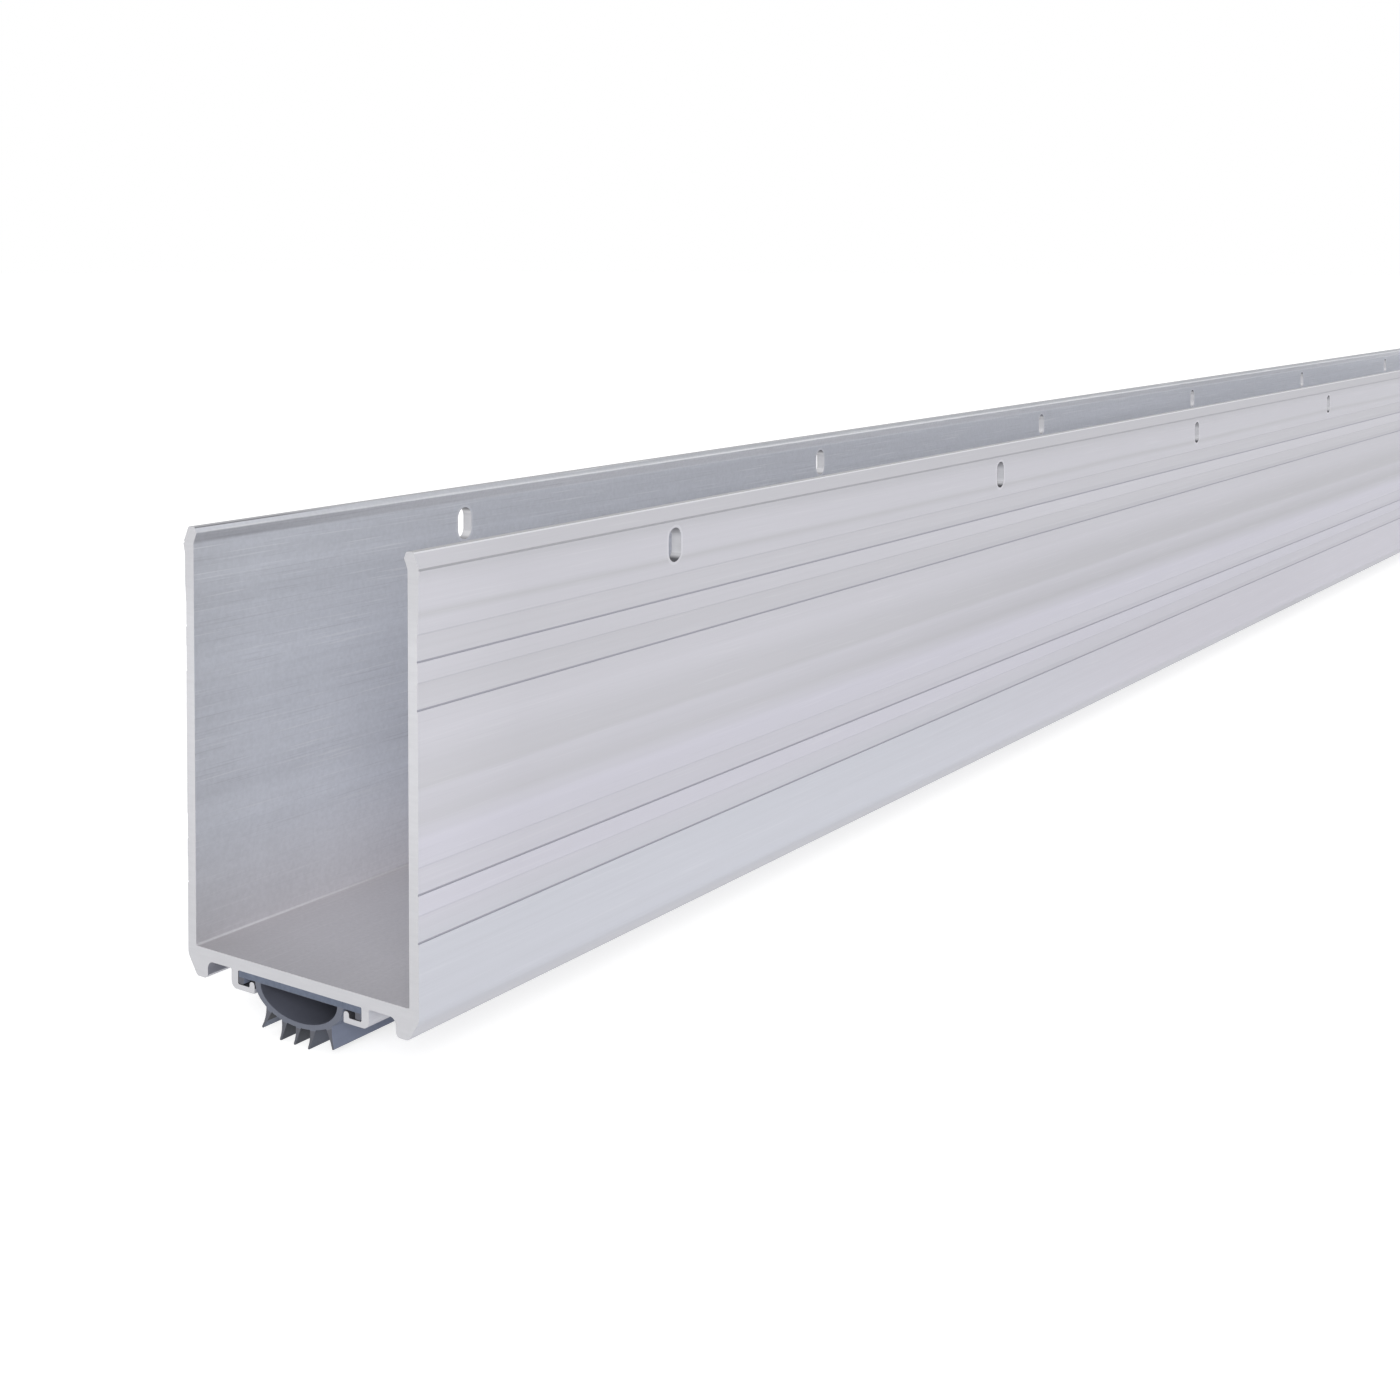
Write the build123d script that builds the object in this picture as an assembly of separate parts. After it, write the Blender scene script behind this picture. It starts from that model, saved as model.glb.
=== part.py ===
from build123d import *
import math
import os

# U-shaped door bottom seal. An extruded aluminium channel slips over the bottom edge of a door
# and is screwed on through slots in both legs. A track under its web holds an extruded vinyl
# seal: a top plate with two hooked tabs, a hollow bulb, and five raked fins that wipe the sill.
# Millimetres. +X runs along the door's bottom edge, +Y across the door, +Z up.
# The origin is the centre of the channel's inner floor, where the door's edge seats.

# Length and screw slots
length = 914.4
slot_count = 7
slot_end_margin = 65.0
slot_width = 3.8
slot_height = 6.0
slot_below_lip_top = 6.85

# Pocket for the door
door_thickness = 44.45
door_clearance = 0.1
pocket_depth = 67.25

# Legs, lips and web of the channel
leg_wall = 1.9
web_thickness = 1.95
pocket_corner_radius = 0.3
lip_height = 2.7
lip_nose_drop = 1.0
lip_lean = 0.7
lip_lean_height = 1.6
lip_crown = 0.45
lip_top_width = 1.4
lip_radius = 0.3
lip_root_radius = 1.0
screw_band_height = 6.1
screw_band_proud = 0.15
screw_band_shoulder = 2.5
band_bead_proud = 0.35
band_bead_height = 1.6
shoulder_radius = 3.0

# Decorative flutes on the outer faces, each ending below in a fine groove
upper_groove_height = 51.1
lower_groove_height = 9.85
groove_pair_pitch = 7.1
groove_width = 0.3
groove_depth = 0.16
crease_depth = 0.25
flute_height = 4.3
flute_depth = 0.08
flute_ramp = 0.35

# Feet under the legs
foot_depth = 4.8
foot_width = 4.6
foot_bevel_width = 2.1
foot_bevel_height = 3.2
foot_bevel_radius = 2.0
foot_edge_radius = 0.8
foot_root_radius = 1.2

# Track under the web
track_width = 26.7
track_depth = 5.0
hook_wall = 1.5
hook_floor = 0.85
hook_reach = 3.7
hook_tip_width = 1.1
hook_corner_radius = 1.2
small_radius = 0.25

# Vinyl seal
seal_clearance = 0.15
plate_thickness = 1.0
plate_to_tip_gap = 0.25
tab_width = 1.15
bulb_depth = 5.05
bulb_side_wall = 1.2
bulb_bottom_wall = 0.75
fin_pitch = 3.05
fin_drop = 2.9
fin_tip_width = 0.36
fin_root_width = 1.5
fin_rake = 24.0
fin_curl = 0.62
side_fin_root_offset = 6.4
side_fin_rise = 1.1
back_fin_rake = 34.0
front_fin_rake = -16.0

# Places across the section, as distances from the centre line
lip_inner = door_thickness / 2 + door_clearance
pocket_half = lip_inner + lip_lean
leg_outer = pocket_half + leg_wall
band_outer = leg_outer + screw_band_proud
bead_outer = band_outer + band_bead_proud
foot_inner = leg_outer - foot_width
track_half = track_width / 2
hook_outer = track_half + hook_wall
hook_tip_inner = track_half - hook_reach
hook_tip_outer = hook_tip_inner + hook_tip_width
hook_tip_radius = 0.45 * hook_tip_width
plate_half = track_half - seal_clearance
bulb_half = hook_tip_inner - seal_clearance

# Heights of the section
lip_root = pocket_depth - lip_height
lip_nose = pocket_depth - lip_nose_drop
band_bottom = lip_root - screw_band_height
web_bottom = -web_thickness
plate_bottom = web_bottom - plate_thickness
hook_tip_top = plate_bottom - plate_to_tip_gap
hook_floor_top = -track_depth + hook_floor
tab_bottom = hook_floor_top + seal_clearance
fin_tip_level = plate_bottom - bulb_depth - fin_drop

# Extra reach of the cutting shapes past the faces that they cut
over = 1.0


def symmetric_face(half):
    """Face bounded by corners (y, z, radius) on the +Y side and their mirror images."""
    corners = half + [(-y, z, r) for y, z, r in reversed(half)]
    points = [(y, z) for y, z, r in corners]
    radii = [r for y, z, r in corners]
    return make_face(FilletPolyline(points, radius=radii, close=True))


def on_both_sides(shape):
    """The shape and its mirror image across the centre line."""
    return [shape, mirror(shape, about=Plane.YZ)]


def extrude_section(section):
    """Solid of the full length, from a section drawn with y across and z up."""
    return extrude(Plane.YZ * section, amount=length / 2, both=True)


def channel_outline():
    """Outline of the channel's section, before its flutes and grooves are cut."""
    pocket = [
        (pocket_half, 0, pocket_corner_radius),
        (pocket_half, lip_nose - lip_lean_height, lip_root_radius),
        (lip_inner, lip_nose, lip_radius),
        (lip_inner + lip_crown, pocket_depth, lip_radius),
    ]
    outside = [
        (lip_inner + lip_crown + lip_top_width, pocket_depth, lip_radius),
        (bead_outer, lip_root, small_radius),
        (band_outer, lip_root - band_bead_height, shoulder_radius),
        (band_outer, band_bottom, shoulder_radius),
        (leg_outer, band_bottom - screw_band_shoulder, shoulder_radius),
    ]
    foot = [
        (leg_outer, foot_bevel_height - foot_depth, foot_bevel_radius),
        (leg_outer - foot_bevel_width, -foot_depth, foot_edge_radius),
        (foot_inner, -foot_depth, foot_edge_radius),
        (foot_inner, web_bottom, foot_root_radius),
    ]
    hook = [
        (hook_outer, web_bottom, small_radius),
        (hook_outer, -track_depth, hook_corner_radius),
        (hook_tip_inner, -track_depth, small_radius),
        (hook_tip_inner, hook_tip_top, hook_tip_radius),
        (hook_tip_outer, hook_tip_top, hook_tip_radius),
        (hook_tip_outer, hook_floor_top, small_radius),
        (track_half, hook_floor_top, small_radius),
        (track_half, web_bottom, small_radius),
    ]
    return symmetric_face(pocket + outside + foot + hook)


def groove(face_y, z, depth):
    """Fine groove of square section, cut into an outer face with its lower edge at z."""
    return Pos(face_y, z + groove_width / 2) * Rectangle(2 * depth, groove_width)


def flute(z):
    """Shallow flute in the leg's outer face that ends in a groove at height z."""
    bottom_y = leg_outer - flute_depth
    top = z + flute_height
    corners = [
        (leg_outer + over, z),
        (leg_outer + over, top),
        (leg_outer, top),
        (bottom_y, top - flute_ramp),
        (bottom_y, z),
    ]
    return make_face(Polyline(*corners, close=True)) + groove(leg_outer, z, groove_depth)


def u_channel():
    """Aluminium channel: the extruded section with a row of slots through both legs."""
    section = channel_outline()
    section -= on_both_sides(groove(bead_outer, lip_root, crease_depth))
    upper = [upper_groove_height, upper_groove_height - groove_pair_pitch]
    lower = [lower_groove_height + groove_pair_pitch, lower_groove_height]
    for z in upper + lower:
        section -= on_both_sides(flute(z))
    channel = extrude_section(section)

    slot_shape = Plane.XZ * Rot(0, 0, 90) * SlotOverall(slot_height, slot_width)
    slot_cut = extrude(slot_shape, amount=band_outer + over, both=True)
    slot_z = pocket_depth - slot_below_lip_top
    slot_pitch = (length - 2 * slot_end_margin) / (slot_count - 1)
    for i in range(slot_count):
        x = -length / 2 + slot_end_margin + i * slot_pitch
        channel -= Pos(x, 0, slot_z) * slot_cut
    return channel


def fin(root_y, tip_z, lean, curl):
    """Tapered fin from the bulb's wall to a rounded tip at height tip_z.

    The tip leans to +Y by an angle. The root stands straighter, shifted by the curl.
    """
    tip = fin_tip_width / 2
    root = fin_root_width / 2
    height = fin_drop + bulb_bottom_wall
    tip_arc = ThreePointArc((-tip, tip), (0, 0), (tip, tip))
    right = TangentArc((tip, tip), (root + curl, height), tangent=(0, 1))
    top = Line((root + curl, height), (-root + curl, height))
    left = TangentArc((-tip, tip), (-root + curl, height), tangent=(0, 1))
    angle = math.radians(lean)
    tip_y = root_y + height * math.sin(angle) - curl * math.cos(angle)
    return Pos(tip_y, tip_z) * Rot(0, 0, lean) * make_face([tip_arc, right, top, left])


def half_oval(half_width, depth):
    """Lower half of an oval that hangs from the underside of the seal's plate."""
    below = Pos(0, plate_bottom - depth) * Rectangle(2 * half_width, 2 * depth)
    return (Pos(0, plate_bottom) * Ellipse(half_width, depth)) & below


def fin_seal():
    """Vinyl seal: plate and tabs in the track, hollow bulb below it, and five fins."""
    section = symmetric_face(
        [
            (plate_half, web_bottom, small_radius),
            (plate_half, tab_bottom, small_radius),
            (plate_half - tab_width, tab_bottom, small_radius),
            (plate_half - tab_width, plate_bottom, small_radius),
        ]
    )
    section += half_oval(bulb_half, bulb_depth)
    for root_y in (-fin_pitch, 0, fin_pitch):
        section += fin(root_y, fin_tip_level, fin_rake, fin_curl)
    section += fin(side_fin_root_offset, fin_tip_level + side_fin_rise, back_fin_rake, fin_curl)
    section += fin(-side_fin_root_offset, fin_tip_level + side_fin_rise, front_fin_rake, 0)
    section -= half_oval(bulb_half - bulb_side_wall, bulb_depth - bulb_bottom_wall)
    return extrude_section(section)


os.makedirs("parts", exist_ok=True)
export_step(u_channel(), "parts/u_channel.step")
export_step(fin_seal(), "parts/fin_seal.step")
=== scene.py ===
import math
from types import SimpleNamespace

import bpy
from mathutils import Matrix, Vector


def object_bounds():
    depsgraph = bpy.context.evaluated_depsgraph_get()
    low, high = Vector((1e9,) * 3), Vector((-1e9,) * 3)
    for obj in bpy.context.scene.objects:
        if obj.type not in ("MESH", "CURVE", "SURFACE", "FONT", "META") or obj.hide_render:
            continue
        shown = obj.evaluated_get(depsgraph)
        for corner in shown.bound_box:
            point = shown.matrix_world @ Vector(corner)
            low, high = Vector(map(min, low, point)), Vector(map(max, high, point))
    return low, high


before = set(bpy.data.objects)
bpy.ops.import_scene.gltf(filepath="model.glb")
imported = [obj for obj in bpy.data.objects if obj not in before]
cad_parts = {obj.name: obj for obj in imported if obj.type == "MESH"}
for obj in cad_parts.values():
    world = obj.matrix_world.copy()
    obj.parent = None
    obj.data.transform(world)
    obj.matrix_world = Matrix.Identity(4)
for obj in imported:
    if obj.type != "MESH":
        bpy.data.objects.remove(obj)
cad_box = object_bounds()

MM = 0.001

# Camera, in metres and degrees. The lens is shifted, so the channel's upright edges stay nearly parallel.
CAMERA_PLACE = (-0.66093, -0.21305, 0.10951)
CAMERA_YAW = 34.216
CAMERA_PITCH = -1.541
LENS_MM = 48.825
SENSOR_MM = 36.0
LENS_SHIFT_Y = -0.2769
CLIP_START = 0.01
CLIP_END = 100.0

# Floor and light
FLOOR_SIZE = 30.0
FLOOR_COLOR = (0.55, 0.55, 0.55, 1.0)
FLOOR_GLOW = 0.71
WORLD_COLOR = (1.0, 1.0, 1.0, 1.0)
WORLD_LIGHT = 0.55
WORLD_WHITE = 1.0
SUN_FROM = (-1.0, -0.75, 0.45)
SUN_SPREAD = 40.0
SUN_STRENGTH = 2.5

# The channel's length and section, in millimetres from its middle, its centre line and its inner floor
LENGTH = (cad_box[1].x - cad_box[0].x) / MM
POCKET_HALF = 23.025
CORNER = 0.32
LEG_OUTER = 24.925
FLUTE_DEPTH = 0.08
FLUTES_BELOW = 55.6
GROOVES = (9.85, 16.95, 44.0, 51.1)
GROOVE_DEPTH = 0.16
CREASE_HEIGHTS = (64.53, 64.87)
CREASE_INNER = 25.1
LIP_TOP = cad_box[1].z / MM
LIP_EDGE = 0.24
LIP_INNER_EDGE = 23.0
LIP_OUTER_EDGE = 23.9
FOOT_INNER = 20.325
HOOK_OUTER = 14.85
TRACK_HALF = 13.35
TRACK_FLOOR = -4.15
SLOT_LOW = 57.4
SLOT_TALL = 6.0
SLOT_WIDE = 3.8
SLOT_PITCH = 130.733

# The seal's section, in the same millimetres. The two walls are squares of the chamber's size.
CHAMBER_HALF = 8.3
CHAMBER_DEPTH = 4.3
CHAMBER_TOP = -2.95
CHAMBER_WALL = 1.02
BULB_WALL = 1.45
FRONT_FIN = -6.0
BACK_FIN = 6.9
FIN_ROOTS = -6.6
FIN_TIPS = cad_box[0].z / MM

# Room for the masks at a face, and the least or most that a cut face looks along an axis
EDGE = 0.04
SLOT_RIM = 0.5
GROOVE_SHADE = 1.3
SAWN_FACING = 0.95
PUNCHED_FACING = 0.5
CUT_FACING = 0.7

# Reach of the ramps, in millimetres: above the inner floor, over the section, and in from an end
FLOOR_REACH = 10.0
RAMP_LOW = -5.0
RAMP_HIGH = 68.0
END_REACH = 180.0

# Colours of the aluminium
BAND_SHADE = (0.530, 0.528, 0.556, 1.0)
LOW_TINT = (0.611, 0.624, 0.683, 1.0)
LOW_TINT_FURTHER = (0.624, 0.613, 0.676, 1.0)
MIDDLE_TINT = (0.626, 0.618, 0.690, 1.0)
HIGH_TINT = (0.636, 0.630, 0.682, 1.0)
FOOT_TINT = (0.610, 0.612, 0.655, 1.0)
SHADE_ABOVE_GROOVE = (0.95, 0.95, 0.955, 1.0)
FLUTE_EDGE_SHADE = (0.91, 0.91, 0.92, 1.0)
RECESS_SHADE_COLOR = (0.25, 0.255, 0.295, 1.0)
TRACK_SHADE_COLOR = (0.08, 0.08, 0.09, 1.0)
LIGHTENED_WALL_COLOR = (0.735, 0.755, 0.815, 1.0)
LOW_WALL_COLOR = (0.602, 0.592, 0.620, 1.0)
POCKET_FLOOR_COLOR = (0.570, 0.554, 0.577, 1.0)
CORNER_HIGHLIGHT_COLOR = (0.85, 0.85, 0.88, 1.0)
LIP_SLOPE_SHADE_AT_END = (0.55, 0.56, 0.60, 1.0)
LIP_SLOPE_LIGHT = (0.93, 0.94, 0.97, 1.0)
CROWN_LIGHT_AT_END = (0.68, 0.695, 0.75, 1.0)
CROWN_SHADE = (0.48, 0.49, 0.52, 1.0)
LIP_TOP_SHADE = (0.40, 0.40, 0.42, 1.0)
LIP_INNER_EDGE_SHADE = (0.24, 0.24, 0.26, 1.0)
LIP_OUTER_EDGE_HIGHLIGHT = (0.72, 0.72, 0.75, 1.0)
SCRATCH_COLOR = (0.95, 0.95, 0.96, 1.0)
SCORE_COLOR = (0.36, 0.36, 0.40, 1.0)
SLOT_RIM_COLOR = (0.80, 0.80, 0.84, 1.0)
FRONT_SLOT_SHADE = (0.50, 0.50, 0.52, 1.0)
BACK_SLOT_SHADE = (0.64, 0.64, 0.66, 1.0)
SLOT_END_SHADE = (0.08, 0.08, 0.09, 1.0)
GROOVE_PAINTED_SHADE = (0.40, 0.40, 0.455, 1.0)
CREASE_PAINTED_SHADE = (0.47, 0.47, 0.50, 1.0)
SAWN_DARK = (0.57, 0.57, 0.597, 1.0)
SAWN_LIGHT = (0.66, 0.66, 0.685, 1.0)

# Colours of the vinyl
VINYL_DARK = (0.14, 0.16, 0.22, 1.0)
VINYL_LIGHT = (0.21, 0.237, 0.315, 1.0)
CHAMBER_SHADE_COLOR = (0.105, 0.112, 0.145, 1.0)
CUT_DARK = (0.070, 0.088, 0.128, 1.0)
CUT_LIGHT = (0.140, 0.163, 0.222, 1.0)
BULB_COLOR = (0.126, 0.134, 0.164, 1.0)
FIN_END_COLOR = (0.086, 0.089, 0.107, 1.0)

# Tones over the channel's height, as (millimetres, value)
# Painted light and shade in soft bands over the outer face, with the foot's downward bevel lighter
FACE_BANDS = [
    (-3.0, 0.90), (1.0, 0.85), (22.0, 0.86), (24.5, 1.0), (28.0, 0.35), (32.0, 0.80), (32.8, 0.36),
    (40.5, 0.86), (44.0, 0.72), (57.0, 0.78), (58.0, 0.24), (58.8, 0.80), (62.0, 0.80), (65.0, 0.33),
]
BANDS_FURTHER = [
    (18.5, 1.0), (20.0, 1.03), (24.0, 1.0), (26.0, 0.975), (28.0, 0.917), (32.0, 0.97),
    (34.5, 0.925), (42.0, 0.985), (46.0, 1.0), (49.0, 1.04), (50.8, 1.04), (51.5, 1.0),
]
LIT_WALL = [(0.0, 0.20), (8.0, 0.17), (20.0, 0.05), (36.0, 0.01), (60.0, 0.0)]
SHADE_UNDER_LIPS = [(46.0, 1.0), (57.0, 0.87), (64.2, 0.87), (64.8, 1.0)]
SAWN_TONES = [
    (-5.0, 0.885), (5.0, 0.89), (22.0, 0.94), (32.0, 0.985), (52.0, 1.0), (60.0, 0.92), (67.0, 0.90),
]

# Tones along the channel and in from its nearer end, as (share, value)
TONES_ALONG = [(0.08, 1.0), (0.36, 0.95), (0.47, 0.92), (0.60, 0.91)]
LIP_SHADING_FURTHER_IN = [(0.0, 0.08), (0.14, 0.32), (0.21, 0.52), (0.30, 0.60), (0.50, 0.85), (1.0, 1.0)]

# Noise: its scale, or scales along, across and up, and turns in degrees about those axes
FINE_LINES = (1.5, 1500.0, 1500.0)
COARSE_LINES = (3.0, 240.0, 240.0)
HAIR_LINES = (48.0, 3000.0, 3000.0)
HAIR_TURN = (0.0, 0.8, 0.0)
SAW_LINES = (1.0, 300.0, 2600.0)
SAW_TURN = (24.0, 0.0, 0.0)
GRAIN_SCALE = 1500.0
SWAY_SCALES = (7.0, 20.0, 20.0)
SWAY_MM = 1.6
VINYL_LINES = (2.0, 900.0, 900.0)
CLOUD_SCALE = 180.0
SPECKLE_SCALE = 1100.0

# Shares of the tones that go over one another
COARSE_SHARE = 0.6
CLOUD_SHARE = 0.4
FLUTE_SHARE = 0.22
CORNER_HIGHLIGHT_SHARE = 0.28
OUTER_STREAKS = 0.55
FLOOR_STREAKS = 0.2
OUTER_SCRATCHES = 0.05
WALL_SCRATCHES = 0.20
FLOOR_SCRATCHES = 0.06
SLOT_RIM_SHARE = 0.25
BULB_SHARE = 0.8

# Gloss and relief
METAL_SHARE = 0.5
DRAWN_ROUGHNESS = (0.46, 0.62)
SAWN_ROUGHNESS = (0.50, 0.66)
VINYL_ROUGHNESS = (0.46, 0.62)
VINYL_SPECULAR = 0.4
METAL_RELIEF = 0.08
VINYL_RELIEF = 0.15
RELIEF_DEPTH = 0.0002


class Tree:
    """Short calls for building one node tree."""

    def __init__(self, owner):
        owner.use_nodes = True
        self.tree = owner.node_tree
        self.tree.nodes.clear()

    def add(self, kind, inputs=None, **settings):
        """New node with its settings and inputs. An input is a constant or another node's output."""
        node = self.tree.nodes.new(kind)
        for name, value in settings.items():
            setattr(node, name, value)
        for key, value in (inputs or {}).items():
            if isinstance(value, bpy.types.NodeSocket):
                self.tree.links.new(value, node.inputs[key])
            else:
                node.inputs[key].default_value = value
        return node

    def math(self, operation, a, b=0.0):
        """Result of an operation on one or two numbers."""
        return self.add("ShaderNodeMath", {0: a, 1: b}, operation=operation).outputs[0]

    def over(self, value, limit):
        """1 where a value is over a limit."""
        return self.math("GREATER_THAN", value, limit)

    def under(self, value, limit):
        """1 where a value is under a limit."""
        return self.math("LESS_THAN", value, limit)

    def times(self, a, b):
        """Product of two numbers. Of two masks, it is 1 where both are 1."""
        return self.math("MULTIPLY", a, b)

    def between(self, value, low, high):
        """1 where a value lies between two limits."""
        return self.times(self.over(value, low), self.under(value, high))

    def fraction(self, value, start, span):
        """Place of a value in a span, 0 at its start and 1 at its end."""
        return self.math("DIVIDE", self.math("SUBTRACT", value, start), span)

    def squares(self, a, b):
        """Sum of the squares of two numbers."""
        return self.math("ADD", self.times(a, a), self.times(b, b))

    def mix(self, factor, a, b):
        """Blend of two numbers."""
        node = self.add("ShaderNodeMix", {0: factor, 2: a, 3: b}, data_type="FLOAT")
        return node.outputs[0]

    def mix_color(self, factor, a, b, blend="MIX"):
        """Blend of two colours."""
        node = self.add("ShaderNodeMix", {0: factor, 6: a, 7: b}, data_type="RGBA", blend_type=blend)
        return node.outputs[2]

    def toned(self, color, tone, share=1.0):
        """Colour multiplied by a share of a tone."""
        return self.mix_color(share, color, tone, "MULTIPLY")

    def scaled(self, vector, scales, turns=(0.0, 0.0, 0.0)):
        """Texture coordinates stretched along each axis and turned about it."""
        angles = [math.radians(turn) for turn in turns]
        node = self.add("ShaderNodeMapping", {"Vector": vector, "Scale": scales, "Rotation": angles})
        return node.outputs[0]

    def noise(self, vector, scale=1.0, detail=3.0, roughness=0.55):
        """Soft noise from 0 to 1."""
        inputs = {"Vector": vector, "Scale": scale, "Detail": detail, "Roughness": roughness}
        return self.add("ShaderNodeTexNoise", inputs).outputs[0]

    def ramp(self, factor, stops):
        """Grey ramp through (place, value) stops."""
        node = self.add("ShaderNodeValToRGB", {0: factor})
        elements = node.color_ramp.elements
        while len(elements) < len(stops):
            elements.new(0.5)
        for element, (place, value) in zip(elements, stops):
            element.position = place
            element.color = (value, value, value, 1.0)
        return node.outputs[0]

    def height_ramp(self, height, stops):
        """Grey ramp over the channel's height, through (millimetres, value) stops."""
        span = RAMP_HIGH - RAMP_LOW
        places = [((stop - RAMP_LOW) / span, value) for stop, value in stops]
        return self.ramp(self.fraction(height, RAMP_LOW, span), places)


def surface_point(t):
    """Where a point lies, in millimetres along, across and up, and which way its surface looks."""
    place = t.add("ShaderNodeTexCoord")
    coordinates = place.outputs["Object"]
    in_mm = t.add("ShaderNodeVectorMath", {0: coordinates, 3: 1.0 / MM}, operation="SCALE")
    axes = t.add("ShaderNodeSeparateXYZ", {0: in_mm.outputs[0]}).outputs
    normal = t.add("ShaderNodeSeparateXYZ", {0: place.outputs["Normal"]}).outputs
    return SimpleNamespace(
        coordinates=coordinates,
        x=axes["X"],
        y=axes["Y"],
        height=axes["Z"],
        normal=normal,
    )


def add_lengthwise(t, at):
    """Adds a point's share of the length from the near end, and of the reach in from the nearer end."""
    at.along = t.fraction(at.x, -LENGTH / 2, LENGTH)
    from_end = t.math("SUBTRACT", LENGTH / 2, t.math("ABSOLUTE", at.x))
    at.from_end = t.math("DIVIDE", from_end, END_REACH)


def channel_masks(t, at):
    """Masks of the channel's faces, grooves and edges."""
    height = at.height
    side = t.math("ABSOLUTE", at.y)
    pocket = t.times(t.under(side, POCKET_HALF + EDGE), t.over(height, -EDGE))
    floor = t.ramp(t.math("DIVIDE", height, FLOOR_REACH), [(0.01, 1.0), (0.06, 0.0)])
    corner = t.times(t.under(height, CORNER), t.over(side, POCKET_HALF - CORNER))
    below = t.under(height, -EDGE)
    track = t.times(t.over(height, TRACK_FLOOR - EDGE), t.under(side, TRACK_HALF + EDGE))
    lip_edge = t.between(height, LIP_TOP - LIP_EDGE, LIP_TOP - EDGE)
    fluted = t.between(height, 0.0, FLUTES_BELOW)
    flute_floor = LEG_OUTER - FLUTE_DEPTH
    groove_floor = LEG_OUTER - GROOVE_DEPTH
    return SimpleNamespace(
        sawn=t.over(t.math("ABSOLUTE", at.normal["X"]), SAWN_FACING),
        pocket=pocket,
        floor=t.times(pocket, floor),
        corner=t.times(pocket, corner),
        recess=t.times(below, t.between(side, HOOK_OUTER + EDGE, FOOT_INNER + EDGE)),
        track=t.times(below, track),
        lip_top=t.over(height, LIP_TOP - EDGE),
        lip_inner_edge=t.times(lip_edge, t.under(side, LIP_INNER_EDGE)),
        lip_outer_edge=t.times(lip_edge, t.over(side, LIP_OUTER_EDGE)),
        flute=t.times(fluted, t.between(side, POCKET_HALF + EDGE, LEG_OUTER - FLUTE_DEPTH / 2)),
        flute_edge=t.times(fluted, t.between(side, flute_floor + EDGE / 4, LEG_OUTER - EDGE / 4)),
        groove=t.times(fluted, t.between(side, groove_floor - EDGE, flute_floor - EDGE / 4)),
        crease=t.times(t.between(height, *CREASE_HEIGHTS), t.over(side, CREASE_INNER)),
    )


def slot_masks(t, at):
    """Masks of the slots' walls, of the ends of those walls that get painted shade, and of the rim round
    each slot.
    """
    back = t.over(at.y, 0.0)
    through = t.under(t.math("ABSOLUTE", at.normal["Y"]), PUNCHED_FACING)
    punched = t.times(through, t.between(at.height, SLOT_LOW - EDGE, SLOT_LOW + SLOT_TALL + EDGE))
    up_slot = t.fraction(at.height, SLOT_LOW, SLOT_TALL)
    front_ends = t.ramp(up_slot, [(0.06, 1.0), (0.15, 0.0), (0.86, 0.0), (0.97, 0.4)])
    back_ends = t.ramp(up_slot, [(0.02, 0.5), (0.09, 0.0), (0.84, 0.0), (0.96, 0.85)])

    # Distance from the line down the middle of the nearest slot
    nearest = t.math("ROUND", t.math("DIVIDE", at.x, SLOT_PITCH))
    beside = t.math("SUBTRACT", at.x, t.times(nearest, SLOT_PITCH))
    past_end = t.math("ABSOLUTE", t.math("SUBTRACT", at.height, SLOT_LOW + SLOT_TALL / 2))
    past_end = t.math("MAXIMUM", t.math("SUBTRACT", past_end, (SLOT_TALL - SLOT_WIDE) / 2), 0.0)
    distance = t.math("SQRT", t.squares(beside, past_end))
    return SimpleNamespace(
        back=back,
        punched=punched,
        ends=t.times(punched, t.mix(back, front_ends, back_ends)),
        rim=t.under(distance, SLOT_WIDE / 2 + SLOT_RIM),
    )


def channel_wear(t, at):
    """Lengthwise lines from the die, light scratches, dark scores, the saw's marks and fine grain."""
    fine = t.noise(t.scaled(at.coordinates, FINE_LINES), detail=2.0)
    coarse = t.noise(t.scaled(at.coordinates, COARSE_LINES))
    hair = t.noise(t.scaled(at.coordinates, HAIR_LINES, HAIR_TURN), detail=1.0)
    grain = t.noise(at.coordinates, scale=GRAIN_SCALE, detail=2.0)
    return SimpleNamespace(
        lines=t.mix(COARSE_SHARE, fine, coarse),
        scratches=t.ramp(hair, [(0.62, 0.0), (0.70, 1.0)]),
        scores=t.ramp(hair, [(0.30, 1.0), (0.38, 0.0)]),
        marks=t.noise(t.scaled(at.coordinates, SAW_LINES, SAW_TURN), detail=2.0),
        grain=t.ramp(grain, [(0.30, 0.93), (0.70, 1.0)]),
    )


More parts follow.
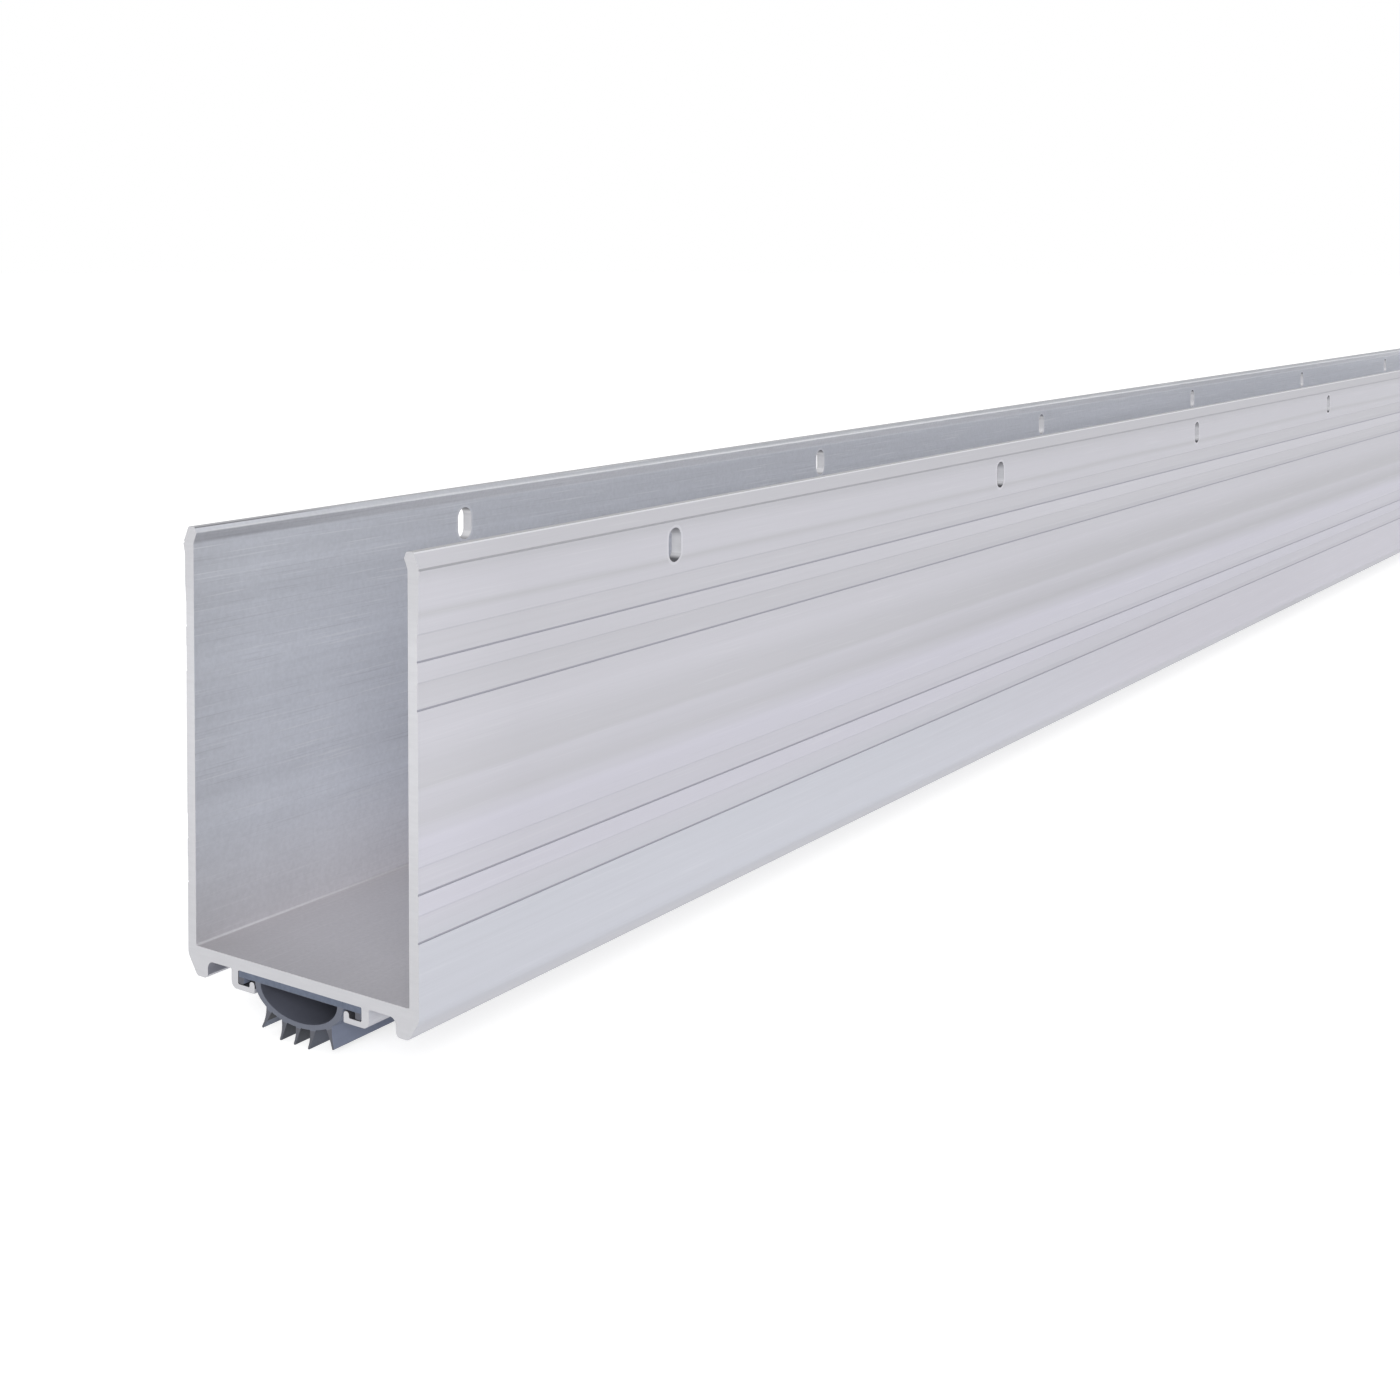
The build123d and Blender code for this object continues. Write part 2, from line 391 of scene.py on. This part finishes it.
def outer_color(t, at, mask):
    """Colour of the channel's outside: soft bands of painted light and shade, flutes, feet, and painted
    shade in the recesses and the track under the web.
    """
    height = at.height
    sway = t.noise(t.scaled(at.coordinates, SWAY_SCALES), detail=1.0)
    sway = t.times(t.math("SUBTRACT", sway, 0.5), SWAY_MM)
    bands = t.height_ramp(t.math("ADD", height, sway), FACE_BANDS)
    bands = t.math("SUBTRACT", bands, t.times(mask.flute, FLUTE_SHARE))
    tint = t.mix_color(t.ramp(at.along, [(0.16, 0.0), (0.32, 1.0)]), LOW_TINT, LOW_TINT_FURTHER)
    tint = t.mix_color(t.height_ramp(height, [(9.0, 0.0), (14.0, 1.0)]), tint, MIDDLE_TINT)
    tint = t.mix_color(t.height_ramp(height, [(24.0, 0.0), (34.0, 1.0)]), tint, HIGH_TINT)
    color = t.mix_color(bands, BAND_SHADE, tint)
    color = t.mix_color(t.height_ramp(height, [(-3.4, 1.0), (-1.4, 0.0)]), color, FOOT_TINT)

    # Further along, the face is darker, its bands stronger, and painted shade lies above its grooves
    color = t.toned(color, t.ramp(at.along, TONES_ALONG))
    further = t.ramp(at.along, [(0.10, 0.0), (0.24, 1.0)])
    color = t.toned(color, t.height_ramp(height, BANDS_FURTHER), further)
    for groove in GROOVES:
        shaded_above_groove = t.between(height, groove, groove + GROOVE_SHADE)
        color = t.toned(color, SHADE_ABOVE_GROOVE, t.times(shaded_above_groove, further))

    # Painted light: the face is a little lighter next to its ends, least at its foot
    glow = t.ramp(at.from_end, [(0.02, 0.055), (0.13, 0.0)])
    glow = t.times(glow, t.height_ramp(height, [(4.0, 0.1), (16.0, 1.0)]))
    color = t.toned(color, t.math("ADD", glow, 1.0))
    # Painted shade on the flutes' edges
    color = t.toned(color, FLUTE_EDGE_SHADE, mask.flute_edge)
    # Painted shade in the recesses beside the feet and in the track under the web
    color = t.mix_color(mask.recess, color, RECESS_SHADE_COLOR)
    return t.mix_color(mask.track, color, TRACK_SHADE_COLOR)


def inner_color(t, at, mask):
    """Colour of the pocket, warmer at its floor, with painted light on its walls and corners and painted
    shade at its ends and under its lips.
    """
    height = at.height
    deep = t.ramp(at.from_end, [(0.10, 0.0), (0.283, 1.0)])
    low_wall = t.height_ramp(height, [(0.0, 1.0), (5.0, 0.75), (18.0, 0.0)])
    # Painted light: the walls are lighter than the outside, and lighter still low down further in
    color = t.mix_color(low_wall, LIGHTENED_WALL_COLOR, LOW_WALL_COLOR)
    lit = t.times(t.height_ramp(height, LIT_WALL), deep)
    color = t.toned(color, t.math("ADD", lit, 1.0))
    color = t.mix_color(mask.floor, color, POCKET_FLOOR_COLOR)
    # Painted highlight along the floor's corners, next to the ends
    corner_highlight = t.times(mask.corner, t.mix(deep, CORNER_HIGHLIGHT_SHARE, 0.0))
    color = t.mix_color(corner_highlight, color, CORNER_HIGHLIGHT_COLOR)
    # Painted shade next to the ends and under the lips
    color = t.toned(color, t.ramp(at.from_end, [(0.0, 0.89), (0.073, 1.0)]))
    under_lip_shade = t.ramp(at.from_end, [(0.0, 0.7), (0.267, 1.0)])
    color = t.toned(color, t.height_ramp(height, SHADE_UNDER_LIPS), under_lip_shade)

    # Painted light and shade on the lips: further in, the slope is lighter and the crown darker
    further_in = t.ramp(at.from_end, LIP_SHADING_FURTHER_IN)
    slope_shading = t.mix_color(further_in, LIP_SLOPE_SHADE_AT_END, LIP_SLOPE_LIGHT)
    crown_shading = t.mix_color(further_in, CROWN_LIGHT_AT_END, CROWN_SHADE)
    crown = t.height_ramp(height, [(66.42, 0.0), (66.62, 1.0)])
    lip = t.height_ramp(height, [(64.3, 0.0), (64.8, 1.0)])
    return t.mix_color(lip, color, t.mix_color(crown, slope_shading, crown_shading))


def worn_color(t, at, mask, wear, color):
    """A drawn face's colour with its streaks, grain, scratches and scores."""
    on_wall = t.height_ramp(at.height, [(0.0, 0.35), (10.0, 0.45), (26.0, 1.0)])
    streaks = t.ramp(wear.lines, [(0.30, 0.88), (0.70, 1.0)])
    streaked = t.mix(mask.floor, t.mix(mask.pocket, OUTER_STREAKS, on_wall), FLOOR_STREAKS)
    color = t.toned(color, streaks, streaked)
    color = t.toned(color, wear.grain, mask.pocket)
    scratched = t.mix(mask.pocket, OUTER_SCRATCHES, t.times(on_wall, WALL_SCRATCHES))
    scratched = t.mix(mask.floor, scratched, FLOOR_SCRATCHES)
    color = t.mix_color(t.times(wear.scratches, scratched), color, SCRATCH_COLOR)
    return t.mix_color(t.times(wear.scores, scratched), color, SCORE_COLOR)


def edged_color(t, at, mask, color):
    """A drawn face's colour with its slots and their rims, and painted shade and highlights in its slots,
    grooves, crease and on the lips' edges.
    """
    slots = slot_masks(t, at)
    # Painted shade: the slots' walls are darker in the front leg than in the back, and darkest at their
    # ends
    slot_shade = t.mix_color(slots.back, FRONT_SLOT_SHADE, BACK_SLOT_SHADE)
    color = t.mix_color(t.times(slots.rim, SLOT_RIM_SHARE), color, SLOT_RIM_COLOR)
    color = t.mix_color(slots.punched, color, slot_shade)
    color = t.mix_color(slots.ends, color, SLOT_END_SHADE)
    # Painted shade in the grooves and in the crease below the lip
    color = t.mix_color(mask.groove, color, GROOVE_PAINTED_SHADE)
    color = t.mix_color(mask.crease, color, CREASE_PAINTED_SHADE)
    # Painted shade on the lips' tops and, next to the ends, along their inner edges; a painted glint along
    # their outer edges
    color = t.mix_color(mask.lip_top, color, LIP_TOP_SHADE)
    next_to_end = t.ramp(at.from_end, [(0.10, 1.0), (0.20, 0.0)])
    color = t.mix_color(t.times(mask.lip_inner_edge, next_to_end), color, LIP_INNER_EDGE_SHADE)
    return t.mix_color(mask.lip_outer_edge, color, LIP_OUTER_EDGE_HIGHLIGHT)


def aluminium():
    """Satin extruded aluminium: soft bands of painted light and shade, fine die lines along its length,
    and sawn ends.
    """
    material = bpy.data.materials.new("mill_aluminium")
    t = Tree(material)
    at = surface_point(t)
    add_lengthwise(t, at)
    mask = channel_masks(t, at)
    wear = channel_wear(t, at)
    drawn = t.mix_color(mask.pocket, outer_color(t, at, mask), inner_color(t, at, mask))
    drawn = worn_color(t, at, mask, wear, drawn)
    drawn = edged_color(t, at, mask, drawn)
    sawn = t.mix_color(wear.marks, SAWN_DARK, SAWN_LIGHT)
    sawn = t.toned(sawn, t.height_ramp(at.height, SAWN_TONES))
    color = t.mix_color(mask.sawn, drawn, sawn)
    rough = t.mix(mask.sawn, t.mix(wear.lines, *DRAWN_ROUGHNESS), t.mix(wear.marks, *SAWN_ROUGHNESS))
    relief = t.mix(mask.sawn, wear.lines, wear.marks)
    bump = t.add("ShaderNodeBump", {"Strength": METAL_RELIEF, "Distance": RELIEF_DEPTH, "Height": relief})
    shader = t.add(
        "ShaderNodeBsdfPrincipled",
        {"Base Color": color, "Metallic": METAL_SHARE, "Roughness": rough, "Normal": bump.outputs[0]},
    )
    t.add("ShaderNodeOutputMaterial", {"Surface": shader.outputs[0]})
    return material


def vinyl():
    """Slate-grey vinyl: matt, with faint lengthwise lines, painted shade between its fins and in its
    chamber, and darker on its cut ends.
    """
    material = bpy.data.materials.new("grey_vinyl")
    t = Tree(material)
    at = surface_point(t)

    # Parts of the bulb, by the squared distance from the chamber's middle, 1 on its wall
    down = t.fraction(at.height, CHAMBER_TOP, CHAMBER_DEPTH)
    reach = t.squares(t.math("DIVIDE", at.y, CHAMBER_HALF), down)
    hanging = t.under(at.height, CHAMBER_TOP + EDGE)
    chamber = t.times(hanging, t.under(reach, CHAMBER_WALL))
    bulb = t.times(hanging, t.under(reach, BULB_WALL))
    fin_end = t.times(t.under(at.height, CHAMBER_TOP), t.over(reach, BULB_WALL))

    # Drawn faces, with painted shade between the fins and in the chamber, lighter low in the chamber
    lines = t.noise(t.scaled(at.coordinates, VINYL_LINES), detail=2.0)
    cloud = t.noise(at.coordinates, scale=CLOUD_SCALE)
    tone = t.mix(CLOUD_SHARE, lines, cloud)
    drawn = t.mix_color(tone, VINYL_DARK, VINYL_LIGHT)
    among_fins = t.between(at.y, FRONT_FIN, BACK_FIN)
    up_fin = t.fraction(at.height, FIN_TIPS, FIN_ROOTS - FIN_TIPS)
    drawn = t.toned(drawn, t.ramp(up_fin, [(0.0, 0.75), (0.75, 0.36), (1.0, 0.46)]), among_fins)
    across_fins = t.fraction(at.y, FRONT_FIN, BACK_FIN - FRONT_FIN)
    drawn = t.toned(drawn, t.ramp(across_fins, [(0.20, 1.0), (0.34, 0.34)]), among_fins)
    chamber_shading = t.ramp(t.times(down, -1.0), [(0.35, 0.66), (0.90, 1.0)])
    drawn = t.mix_color(chamber, drawn, t.toned(CHAMBER_SHADE_COLOR, chamber_shading))

    # Cut ends, speckled, plainer on the bulb's wall and darker on the fins
    speckle = t.noise(at.coordinates, scale=SPECKLE_SCALE, detail=2.0)
    cut = t.mix_color(speckle, CUT_DARK, CUT_LIGHT)
    cut = t.mix_color(t.times(bulb, BULB_SHARE), cut, BULB_COLOR)
    cut = t.mix_color(fin_end, cut, FIN_END_COLOR)

    color = t.mix_color(t.over(t.math("ABSOLUTE", at.normal["X"]), CUT_FACING), drawn, cut)
    rough = t.mix(tone, *VINYL_ROUGHNESS)
    bump = t.add("ShaderNodeBump", {"Strength": VINYL_RELIEF, "Distance": RELIEF_DEPTH, "Height": tone})
    shader = t.add(
        "ShaderNodeBsdfPrincipled",
        {
            "Base Color": color,
            "Roughness": rough,
            "Specular IOR Level": VINYL_SPECULAR,
            "Normal": bump.outputs[0],
        },
    )
    t.add("ShaderNodeOutputMaterial", {"Surface": shader.outputs[0]})
    return material


def give(node, material):
    """Puts a material in every slot of a CAD node's object."""
    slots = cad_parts[node].material_slots
    for slot in slots:
        slot.material = material


def seen_directly(t):
    """1 where a ray comes from the camera, a reflection or a see-through surface."""
    path = t.add("ShaderNodeLightPath")
    seen = t.math("MAXIMUM", path.outputs["Is Camera Ray"], path.outputs["Is Glossy Ray"])
    return t.math("MAXIMUM", seen, path.outputs["Is Transmission Ray"])


def make_floor():
    """White floor that keeps the object's shadow."""
    low = cad_box[0].z
    bpy.ops.mesh.primitive_plane_add(size=FLOOR_SIZE, location=(0.0, 0.0, low))
    floor = bpy.context.object
    floor.name = "floor"
    material = bpy.data.materials.new("floor_white")
    t = Tree(material)
    matt = t.add("ShaderNodeBsdfDiffuse", {"Color": FLOOR_COLOR})
    glow = t.add("ShaderNodeEmission", {"Strength": t.times(seen_directly(t), FLOOR_GLOW)})
    both = t.add("ShaderNodeAddShader", {0: matt.outputs[0], 1: glow.outputs[0]})
    t.add("ShaderNodeOutputMaterial", {"Surface": both.outputs[0]})
    floor.data.materials.append(material)


def make_world():
    """White surroundings in view and in reflections, and a softer even light."""
    world = bpy.data.worlds.new("white_room")
    bpy.context.scene.world = world
    t = Tree(world)
    strength = t.mix(seen_directly(t), WORLD_LIGHT, WORLD_WHITE)
    back = t.add("ShaderNodeBackground", {"Color": WORLD_COLOR, "Strength": strength})
    t.add("ShaderNodeOutputWorld", {"Surface": back.outputs[0]})


def make_sun():
    """Soft light from beside the camera, which reaches into the channel's open end."""
    data = bpy.data.lights.new("sun", "SUN")
    data.energy = SUN_STRENGTH
    data.angle = math.radians(SUN_SPREAD)
    lamp = bpy.data.objects.new("sun", data)
    lamp.rotation_mode = "QUATERNION"
    lamp.rotation_quaternion = (-Vector(SUN_FROM)).to_track_quat("-Z", "Y")
    bpy.context.scene.collection.objects.link(lamp)


def make_camera():
    """Camera at the photograph's angle, looking slightly down, with its lens shifted."""
    data = bpy.data.cameras.new("camera")
    data.sensor_width = SENSOR_MM
    data.lens = LENS_MM
    data.shift_y = LENS_SHIFT_Y
    data.clip_start = CLIP_START
    data.clip_end = CLIP_END
    camera = bpy.data.objects.new("camera", data)
    yaw = math.radians(CAMERA_YAW)
    pitch = math.radians(CAMERA_PITCH)
    look = Vector((math.cos(yaw) * math.cos(pitch), math.sin(yaw) * math.cos(pitch), math.sin(pitch)))
    camera.location = CAMERA_PLACE
    camera.rotation_mode = "QUATERNION"
    camera.rotation_quaternion = look.to_track_quat("-Z", "Y")
    bpy.context.scene.collection.objects.link(camera)
    bpy.context.scene.camera = camera


give("u_channel", aluminium())
give("fin_seal", vinyl())
make_floor()
make_world()
make_sun()
make_camera()
bpy.context.scene.view_settings.view_transform = "Standard"
